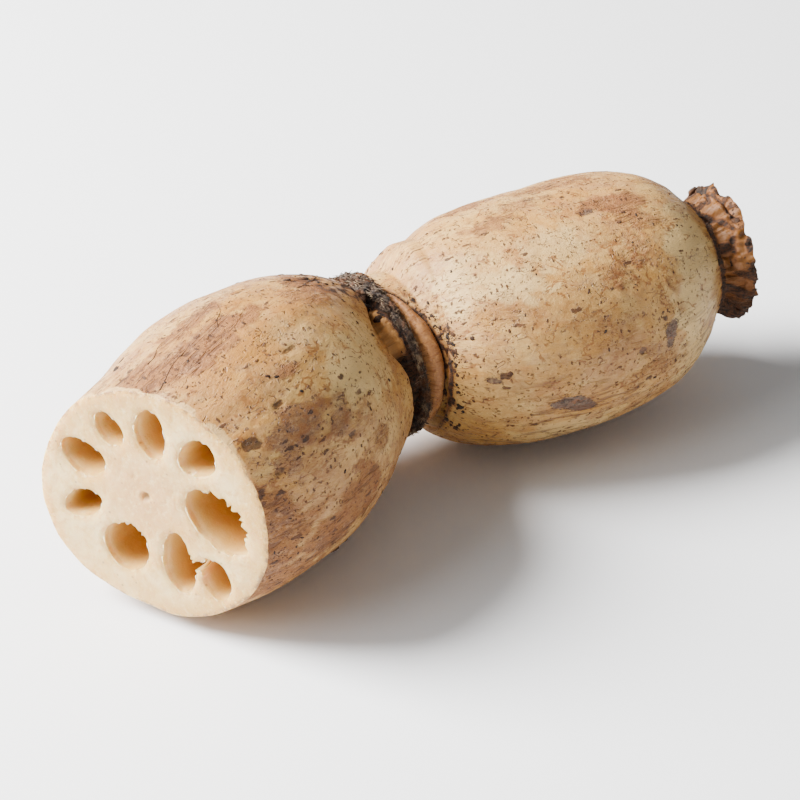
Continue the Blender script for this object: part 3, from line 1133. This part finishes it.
# The smooth band by the node swells, then drops into a crevice before the shoulder
def backExtra(along, turn):
    edge = bandEdgeAt(turn)
    inBand = smoothStep(-5.5, -3.0, along) * (1 - smoothStep(edge - 1.2, edge + 0.2, along))
    swell = 1.5 * np.sin(np.pi * np.clip((along + 6) / (edge + 6), 0, 1)) ** 0.8 * inBand
    crevice = -1.0 * np.exp(-((along - edge - 0.3) / 0.55) ** 2)
    rim = smoothStep(104.8, 106.5, along)
    ragged = fieldAt(along, turn, 7.5, 31, octaves=2)
    stub = smoothStep(97, 99, along) * (1.2 * fieldAt(along, turn, 6.0, 32, octaves=2)
                                        + 0.26 * fieldAt(along, turn, 2.4, 34)
                                        - 0.9 * foldShare(along, turn))
    uneven = 0.25 + 0.75 * smoothStep(-0.25, 0.35, fieldAt(along, turn, 17.0, 36))
    return swell + crevice + rim * uneven * (ragged * 1.3 + 0.45 * fieldAt(along, turn, 2.2, 35)) + stub * 1.3


# Lumps of the broken end, by the place across it
def endField(straight, size):
    return np.array([noise.noise(Vector((side / size, up / size, 3.3))) + 0.5 * noise.noise(Vector((2 * side / size, 2 * up / size, 7.7)))
                     for side, up in straight[:, 1:]])


# closed air channels show as pits in the broken end
endPits = [(10.0 * math.cos(a), 9.0 * math.sin(a), 1.5 + 0.5 * math.sin(3 * a)) for a in np.radians(np.arange(20, 380, 45))]
endPits.append((0.5, 0.3, 1.1))


def endPitShare(straight):
    share = np.zeros(len(straight))
    for side, up, size in endPits:
        gap = np.hypot(straight[:, 1] - side, straight[:, 2] - up)
        share = np.maximum(share, np.exp(-(gap / size) ** 4))
    return share


def makeBackSkin():
    fine, coarse = (1.2, 2.5) if not rough else (2.4, 4.5)
    alongs = evenSteps(-7.5, 12, fine) + evenSteps(14.0, 90, coarse)[:-1] + evenSteps(90, 106.5, fine)
    rings = [(a, float(backRadius(np.array([a]))[0])) for a in alongs]
    rings += [(106.3, 18.4), (105.6, 17.0), (104.6, 15.0), (104.3, 12.5), (104.2, 10.0), (104.2, 7.5), (104.3, 5.0), (104.4, 2.5)]
    body = ringDrum("wholeSegment", rings, back["sides"], back["levels"])
    straight = skinPoints(body, backSkinRadius,
                          lambda along, turn: 0.25 + 0.9 * smoothStep(20, 55, along)
                          * smoothStep(60, 110, np.abs(wrapped(turn - 90))) + 0.6 * smoothStep(80, 95, along),
                          backExtra)
    end = straight[:, 0] > 103.4
    reach = np.hypot(straight[:, 1], straight[:, 2])
    push = endField(straight, 6.0) * (0.7 + 0.8 * smoothStep(12, 19, reach)) - 0.9 * endPitShare(straight)
    straight[:, 0] += np.where(end, push, 0)
    setPoints(body, layOnFloor(bendPoints(straight)))
    return body


backBody = makeBackSkin()
backBody.data.materials.append(skinMaterial)
backStraight = unbendPoints(getPoints(backBody))
along, turn = backStraight[:, 0], turnOf(backStraight)
wobble = fieldAt(along, turn, 5.0, 24, octaves=2)
edge = bandEdgeAt(turn)
bandShare = 1 - smoothStep(edge - 0.5, edge + 0.8, along)
stubShare = smoothStep(96.5, 99.0, along + wobble)
glossShare = bandShare * smoothStep(-6.0, -4.6, along)
tissueShare = np.clip(bandShare * 0.9 + stubShare, 0, 1)
creviceLine = np.exp(-((along - edge - 0.3) / 0.75) ** 2) * (0.55 + 0.5 * smoothStep(-0.35, 0.2, wobble))
nearSide = 1 - smoothStep(35, 75, np.abs(wrapped(turn - 160)))
dirt = (1 - smoothStep(edge + 1.5, edge + 8, along + wobble * 5)) * smoothStep(edge, edge + 1.0, along) * nearSide
dirt = dirt * smoothStep(0.0, 0.35, fieldAt(along, turn, 3.2, 25, octaves=3)) * 0.95
stubLow = smoothStep(40, 110, np.abs(wrapped(turn - 110)))
stubDark = smoothStep(97, 98.5, along) * np.clip(0.75 * smoothStep(-0.05, 0.45, fieldAt(along, turn, 7.5, 26, 1.1, 2)) + 0.7 * stubLow, 0, 1)
rimPatches = smoothStep(-0.15, 0.35, fieldAt(along, turn, 3.0, 27, octaves=2))
stubDark = np.maximum(stubDark, smoothStep(104.0, 105.6, along) * rimPatches * 0.9)
stubDark = np.maximum(stubDark, foldShare(along, turn) * smoothStep(-0.8, 0.1, wobble))
reach = np.hypot(backStraight[:, 1], backStraight[:, 2])
onEnd = (1 - smoothStep(15.5, 17.5, reach)) * smoothStep(100.5, 101.5, along)
endDark = np.maximum(endPitShare(backStraight) * 1.2, smoothStep(-0.15, 0.45, endField(backStraight, 3.2)) * 0.85)
stubDark = stubDark * (1 - onEnd) + endDark * onEnd
joint = np.exp(-((along - 97.6) / 1.1) ** 2) * 0.85
ridgeSide = 1 - smoothStep(-5.8, -4.0, along)
grimeShare = np.clip(np.maximum.reduce([creviceLine, dirt, stubDark, joint, ridgeSide]), 0, 1)
paintSkin(backBody, backStraight, tissueShare, grimeShare, np.zeros(len(along)), glossShare, np.zeros(len(along)))
smoothShade(backBody, 60)
print("whole segment made")


# ---- finding places on the finished skin

def surfaceOf(*objects):
    points, faces = [], []
    for obj in objects:
        start = len(points)
        points += [Vector(v.co) for v in obj.data.vertices]
        faces += [tuple(start + i for i in p.vertices) for p in obj.data.polygons]
    return BVHTree.FromPolygons(points, faces)


skinSurface = surfaceOf(frontBody, backBody)


# Point and outward normal on the skin, at a place along and a turn round the root
def onSkin(along, turn, clear=1.6):
    start = axisPoints(along)[0]
    ahead, side, up = (v[0] for v in axisFrames(along))
    away = side * math.cos(math.radians(turn)) + up * math.sin(math.radians(turn))
    hit = skinSurface.ray_cast(Vector((start + away * 60) * mm), Vector(-away))
    if hit[0] is None:
        return None
    place, out = np.array(hit[0]) / mm, np.array(hit[1])
    onFlesh = (place - cutCentre) @ cutNormal > -clear or out @ away < 0.2 or np.linalg.norm(place - start) < 15.5
    return None if onFlesh and along < 0 else (place, out, ahead)


# ---- the ragged ridge of husk round the node

ridge = {"along": [(-180, -8.3), (-157, -6.8), (-90, -6.2), (0, -6.2), (60, -6.0), (88, -6.6), (108, -7.1), (125, -7.8),
                   (139, -7.8), (150, -8.3), (165, -8.8), (180, -8.3)],
         "reach": [(-180, 21.2), (-157, 21.6), (-90, 21.4), (0, 21.4), (60, 22.0), (85, 22.6), (100, 22.0), (120, 21.0),
                   (139, 20.8), (165, 20.8), (180, 21.2)],
         "thick": [(-180, 1.1), (-157, 1.5), (-90, 1.5), (0, 1.5), (60, 1.7), (85, 1.9), (105, 1.5), (130, 1.1), (150, 1.0),
                   (180, 1.1)]}


def makeNodeRidge():
    deselectAll()
    bpy.ops.mesh.primitive_torus_add(major_segments=320 if not rough else 160, minor_segments=28 if not rough else 14,
                                     major_radius=21 * mm, minor_radius=1.6 * mm, rotation=(0, math.pi / 2, 0))
    ring = bpy.context.object
    ring.name = "nodeRidge"
    settle(ring)
    points = getPoints(ring)
    turn = turnOf(points)
    across = np.hypot(points[:, 1], points[:, 2]) - 21
    inner = np.arctan2(across, points[:, 0])
    thick = curveThrough(ridge["thick"], turn)
    drumX = 21 * np.cos(np.radians(turn)) + np.cos(inner) * 1.6
    lump = np.array([noise.noise(Vector((a / 2.6, b / 2.6, c * 0.9))) + 0.9 * noise.noise(Vector((a / 1.0, b / 1.0, c * 1.6)))
                     for a, b, c in zip(21 * np.cos(np.radians(turn)), 21 * np.sin(np.radians(turn)), inner)])
    grooves = np.sin(inner * 5 + turn * 0.05 + lump * 3)
    top = np.exp(-(wrapped(turn - 84) / 26) ** 2)
    size = thick * (1 + (0.70 + 0.45 * top) * lump + 0.10 * grooves)
    straight = np.stack([curveThrough(ridge["along"], turn) + size * np.cos(inner),
                         (curveThrough(ridge["reach"], turn) + size * np.sin(inner)) * np.cos(np.radians(turn)),
                         (curveThrough(ridge["reach"], turn) + size * np.sin(inner)) * np.sin(np.radians(turn))], 1)
    setPoints(ring, bendPoints(straight))
    ring.data.materials.append(ridgeMaterial)
    smoothShade(ring, 80)
    return ring


nodeRidge = makeNodeRidge()


# One thin hair is modelled and copied, and the copies are laid along the lines
def layHairs(name, lines, thickness, material):
    count, stations = lines.shape[:2]
    hair = ringDrum(name, [(k, 1 - 0.75 * k / (stations - 1)) for k in range(stations)], 3)
    copies = hair.modifiers.new("copies", "ARRAY")
    copies.count = count
    copies.use_relative_offset = False
    copies.use_constant_offset = True
    copies.constant_offset_displace = (2 * stations * mm, 0, 0)
    applyModifier(hair, copies)
    shape = getPoints(hair)[:len(hair.data.vertices) // count]
    station = np.rint(shape[:, 0]).astype(int)
    ahead = np.gradient(lines, axis=1)
    ahead /= np.linalg.norm(ahead, axis=2)[..., None] + 1e-9
    side = np.cross(ahead, [0.3, 0.5, 0.8])
    side /= np.linalg.norm(side, axis=2)[..., None]
    over = np.cross(ahead, side)
    points = lines[:, station] + thickness * (side[:, station] * shape[:, 1:2] + over[:, station] * shape[:, 2:3])
    setPoints(hair, points.reshape(-1, 3))
    hair.data.materials.append(material)
    selectOnly(hair)
    bpy.ops.object.shade_smooth()
    return hair


fuzz = {"count": 2000, "thickness": 0.15, "lying": (1.5, 4.5), "standing": (0.7, 2.0)}


def fuzzLines():
    draw = random.Random(5)
    lines = []
    for k in range(fuzz["count"]):
        turn = draw.uniform(-180, 180)
        around = draw.uniform(-0.3, math.pi + 0.3)
        thick = float(curveThrough(ridge["thick"], np.array([turn]))[0]) * 1.1
        along = float(curveThrough(ridge["along"], np.array([turn]))[0]) + thick * math.cos(around)
        reach = float(curveThrough(ridge["reach"], np.array([turn]))[0]) + thick * math.sin(around)
        standing = draw.random() < 0.45
        length = draw.uniform(*fuzz["standing" if standing else "lying"])
        sweep = draw.uniform(-0.7, 0.7) if standing else math.copysign(draw.uniform(0.7, 1.0), draw.uniform(-1, 1))
        lift = draw.uniform(0.5, 1.0) if standing else draw.uniform(0.0, 0.25)
        drift = math.cos(around) * lift + draw.uniform(-0.3, 0.3)
        t = np.arange(4) / 3
        a = along + drift * length * t
        r = reach + lift * max(math.sin(around), 0.2) * length * (t - 0.3 * t * t)
        w = np.radians(turn + sweep * np.degrees(length * t / 21))
        lines.append(bendPoints(np.stack([a, r * np.cos(w), r * np.sin(w)], 1)))
    return np.array(lines)


nodeFuzz = layHairs("nodeFuzz", fuzzLines(), fuzz["thickness"], hairMaterial)

# dry root threads that lie on the skin: from along and turn, to along and turn
threads = [(-86.5, 93, -73, 84), (-66, 88, -58, 78), (-82, 77, -74, 72), (-38, 93, -24, 85), (-31, 89, -19, 81),
           (-60, -162, -52, -172), (-70, 30, -62, 40), (40, 20, 50, 28)]


def threadLines():
    lines = []
    for startAlong, startTurn, endAlong, endTurn in threads:
        line = []
        for t in np.linspace(0, 1, 14):
            found = onSkin(startAlong + (endAlong - startAlong) * t, startTurn + (endTurn - startTurn) * t
                           + 0.8 * math.sin(7 * t + startAlong), 0.0)
            line.append(found[0] + found[1] * 0.02)
        lines.append(line)
    return np.array(lines)


skinThreads = layHairs("skinThreads", threadLines(), 0.15, soilMaterial)


# ---- crumbs of soil and flakes of skin

def crumbTemplates(count, large):
    made = []
    draw = random.Random(9)
    for k in range(count):
        deselectAll()
        if large:
            bpy.ops.mesh.primitive_uv_sphere_add(segments=8, ring_count=6, radius=1 * mm)
        else:
            bpy.ops.mesh.primitive_ico_sphere_add(subdivisions=1, radius=1 * mm)
        crumb = bpy.context.object
        points = getPoints(crumb)
        seed = draw.uniform(0, 50)
        lump = np.array([noise.noise(Vector(p) * 1.1 + Vector((seed, 0, 0))) for p in points])
        fine = np.array([noise.noise(Vector(p) * 2.6 + Vector((0, seed, 0))) for p in points])
        points *= (1 + 0.55 * lump + 0.3 * fine)[:, None]
        points[:, 2] *= 0.7
        setPoints(crumb, points)
        made.append(crumb)
    return made


# Copies templates on to the skin: place along, turn, size, length share, lean
def scatterOnSkin(name, places, material, sink=0.25, seed=1):
    draw = random.Random(seed)
    copies = []
    for along, turn, size, long, lean in places:
        found = onSkin(along, turn)
        if found is None:
            continue
        place, out, ahead = found
        source = draw.choice(clots if size > 0.4 else grainShapes)
        copy = source.copy()
        copy.data = source.data.copy()
        bpy.context.scene.collection.objects.link(copy)
        side = np.cross(out, ahead)
        side /= np.linalg.norm(side)
        ahead = np.cross(side, out)
        c, s = math.cos(math.radians(lean)), math.sin(math.radians(lean))
        first, second = ahead * c + side * s, side * c - ahead * s
        spin = Matrix((first, second, out)).transposed().to_4x4()
        shape = Matrix.Diagonal((size * long, size, size * draw.uniform(0.6, 1.0), 1))
        copy.matrix_world = Matrix.Translation(Vector((place - out * size * sink) * mm)) @ spin @ shape
        copies.append(copy)
    deselectAll()
    for copy in copies:
        copy.select_set(True)
    bpy.context.view_layer.objects.active = copies[0]
    bpy.ops.object.join()
    joined = bpy.context.object
    joined.name = name
    settle(joined)
    joined.data.materials.clear()
    joined.data.materials.append(material)
    selectOnly(joined)
    bpy.ops.object.shade_smooth()
    return joined


def crumbPlaces():
    draw = random.Random(12)
    places = []
    # clots in the node's crevices, thickest at the top and the bottom
    for middle, spread, alongMiddle, alongSpread, count, size in (
            (84, 22, -9.5, 4.0, 70, (0.4, 1.3)), (-165, 14, -7.5, 2.4, 30, (0.4, 1.1)),
            (153, 15, 8.8, 2.6, 60, (0.15, 0.60)), (150, 22, 11.0, 6.0, 60, (0.12, 0.36)),
            (134, 14, 5.9, 2.4, 34, (0.14, 0.46)), (158, 30, 15, 9.0, 40, (0.12, 0.30)),
            (118, 16, 2.8, 2.6, 24, (0.14, 0.45)),
            (-162, 34, 9.0, 5.0, 30, (0.2, 0.8)), (0, 80, -7.5, 2.2, 60, (0.4, 1.1)),
            (86, 18, -26, 10.0, 40, (0.2, 0.7)), (30, 40, 7.0, 2.5, 24, (0.3, 0.8)),
            (-172, 22, -84, 12.0, 90, (0.18, 0.42)), (158, 10, -11, 2.0, 24, (0.3, 0.8)),
            (-80, 50, 6.5, 2.5, 24, (0.3, 0.8))):
        for k in range(count):
            places.append((draw.gauss(alongMiddle, alongSpread / 2), draw.gauss(middle, spread / 2),
                           size[0] + (size[1] - size[0]) * draw.random() ** 1.6, draw.uniform(1.0, 2.0),
                           draw.uniform(0, 180)))
    # loose grains over the skin
    for k in range(520):
        onFront = draw.random() < 0.62
        along = draw.uniform(-93, -16) if onFront else draw.uniform(8, 94)
        places.append((along, draw.uniform(-180, 180), draw.uniform(0.14, 0.26) + 0.34 * draw.random() ** 3,
                       draw.uniform(1.0, 2.4), draw.uniform(-90, 90)))
    # larger ones that break the outline
    places += [(-84, 58, 1.0, 1.8, 10), (-80, 54, 0.9, 2.0, 0), (-61, -140, 1.1, 1.8, 20), (-58, -143, 0.8, 1.5, 0),
               (-92, -60, 0.9, 1.6, 0), (-88, -75, 0.7, 1.6, 0), (16.8, 151, 0.7, 1.4, 0), (24, 169, 0.9, 1.2, 0),
               (-29, 84, 1.1, 2.2, 0), (-34, 83, 0.9, 2.2, 0)]
    return places


clots = crumbTemplates(5, True)
grainShapes = crumbTemplates(4, False)
soilCrumbs = scatterOnSkin("soilCrumbs", crumbPlaces(), soilMaterial, seed=3)

# ragged, dried scales round the stub's rim
rimPlaces = []
draw = random.Random(21)
for k in range(54):
    rimPlaces.append((draw.uniform(103.6, 106.0), draw.uniform(-180, 180), 0.2 + 0.45 * draw.random() ** 2,
                      draw.uniform(1.0, 2.2), draw.uniform(0, 180)))
for k in range(60):
    rimPlaces.append((draw.uniform(96.5, 98.6), draw.uniform(-180, 180), draw.uniform(0.3, 0.8), draw.uniform(1.0, 2.2),
                      draw.uniform(60, 120)))
rimPlaces += [(103.4, 57, 2.5, 1.2, 80), (102.4, 50, 1.8, 1.3, 60), (104.6, 64, 1.7, 1.2, 90), (104.9, 121, 1.5, 1.4, 80),
              (104.6, -172, 1.4, 1.4, 80)]
stubHusk = scatterOnSkin("stubHusk", rimPlaces, soilMaterial, 0.2, 4)
for template in clots + grainShapes:
    bpy.data.objects.remove(template, do_unlink=True)
print("node, stub and soil made")


# ---- what each piece rides on and stands for

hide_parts("lotus_root")
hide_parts("lotus_root")
for piece, slotName in ((frontBody, "skin"), (backBody, "skin"), (nodeRidge, "husk"), (nodeFuzz, "husk"),
                        (stubHusk, "husk"), (soilCrumbs, "soil"), (skinThreads, "soil")):
    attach(piece, "root")


# ---- floor, light and camera

studio = {"floorSize": 12.0, "floorColour": (0.90, 0.90, 0.90), "sky": 0.29,
          "key": (-0.86, 0.16, 1.05), "keySize": 0.80, "keyPower": 102.0,
          "fill": (-0.5, -1.0, 0.7), "fillSize": 1.0, "fillPower": 13.0}


def makeFloor():
    deselectAll()
    bpy.ops.mesh.primitive_plane_add(size=studio["floorSize"])
    floor = bpy.context.object
    floor.name = "paleFloor"
    m = Nodes("floorPaper")
    place = m.add("ShaderNodeTexCoord").outputs["Object"]
    tone = m.noise(place, 3.0, 3, 0.5)
    low = tuple(c * 0.985 for c in studio["floorColour"])
    m.set(Base_Color=m.mix(m.spread(tone, 0.3, 0.7), low, studio["floorColour"]), Roughness=0.75)
    m.set(Specular_IOR_Level=0.25)
    floor.data.materials.append(m.material)
    return floor


def makeLight(name, place, size, power):
    lamp = bpy.data.lights.new(name, "AREA")
    lamp.shape = "DISK"
    lamp.size = size
    lamp.energy = power
    holder = bpy.data.objects.new(name, lamp)
    bpy.context.scene.collection.objects.link(holder)
    holder.location = place
    holder.rotation_euler = (Vector((0, 0, 0.03)) - Vector(place)).to_track_quat("-Z", "Y").to_euler()
    return holder


makeFloor()
cameraLeft = Vector((-0.79, 0.613, 0))
cameraBack = Vector((0.613, 0.79, 0))
keyPlace = cameraLeft * 0.97 + cameraBack * 0.08 + Vector((0, 0, 0.82))
makeLight("keyLight", keyPlace, studio["keySize"], studio["keyPower"])
fillPlace = cameraLeft * 0.95 - cameraBack * 0.40 + Vector((0, 0, 0.70))
makeLight("fillLight", fillPlace, studio["fillSize"], studio["fillPower"])
world = bpy.data.worlds.new("studioAir")
world.use_nodes = True
world.node_tree.nodes["Background"].inputs["Color"].default_value = (0.97, 0.985, 1.0, 1)
world.node_tree.nodes["Background"].inputs["Strength"].default_value = studio["sky"]
bpy.context.scene.world = world

cameraData = bpy.data.cameras.new("viewCamera")
cameraData.sensor_width = 36.0
cameraData.lens = 103.5
camera = bpy.data.objects.new("viewCamera", cameraData)
bpy.context.scene.collection.objects.link(camera)
eye = Vector((nodePoint + np.array((-320.68, -420.91, 333.47))) * mm)
target = Vector((nodePoint + np.array((-14.02, -25.57, 2.32))) * mm)
camera.location = eye
camera.rotation_euler = (target - eye).to_track_quat("-Z", "Y").to_euler()
bpy.context.scene.camera = camera
print("stage made")
